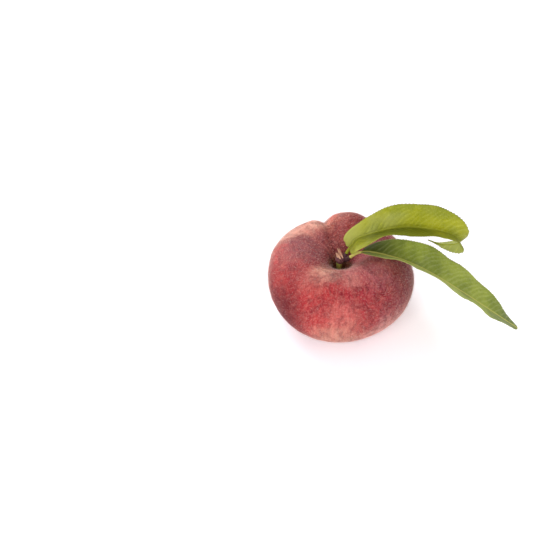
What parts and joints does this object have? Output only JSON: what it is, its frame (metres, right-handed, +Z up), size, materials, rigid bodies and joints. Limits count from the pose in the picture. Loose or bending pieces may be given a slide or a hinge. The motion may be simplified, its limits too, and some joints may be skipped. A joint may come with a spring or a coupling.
{
  "type": "flat peach with leaves",
  "caption": "Ripe flat doughnut-shaped peach resting on its underside, with a short woody twig and leaves growing from the cavity at its top.",
  "frame": {"origin": "centre of the bounding box in X and Y, on the surface the fruit rests on", "axes": "+X to the right, the way the leaves reach; +Y away from the front; +Z up along the fruit's core line"},
  "size_m": [0.1138, 0.0692, 0.06],
  "materials": {
    "skin": "velvety, with short down",
    "green_stalk": "matte, fresh and green",
    "bark": "matte",
    "dry_scale": "matte, papery",
    "leaf_upper": "satin",
    "leaf_lower": "satin"
  },
  "bodies": {
    "root": {"fruit": "skin", "fruit_stalk": "green_stalk", "twig": "bark", "bud_scale_1": "dry_scale", "bud_scale_2": "dry_scale", "bud_scale_3": "dry_scale", "bud_scale_4": "dry_scale", "bud_scale_5": "dry_scale", "upper_leaf": "leaf_upper", "lower_leaf": "leaf_lower"}
  },
  "joints": []
}
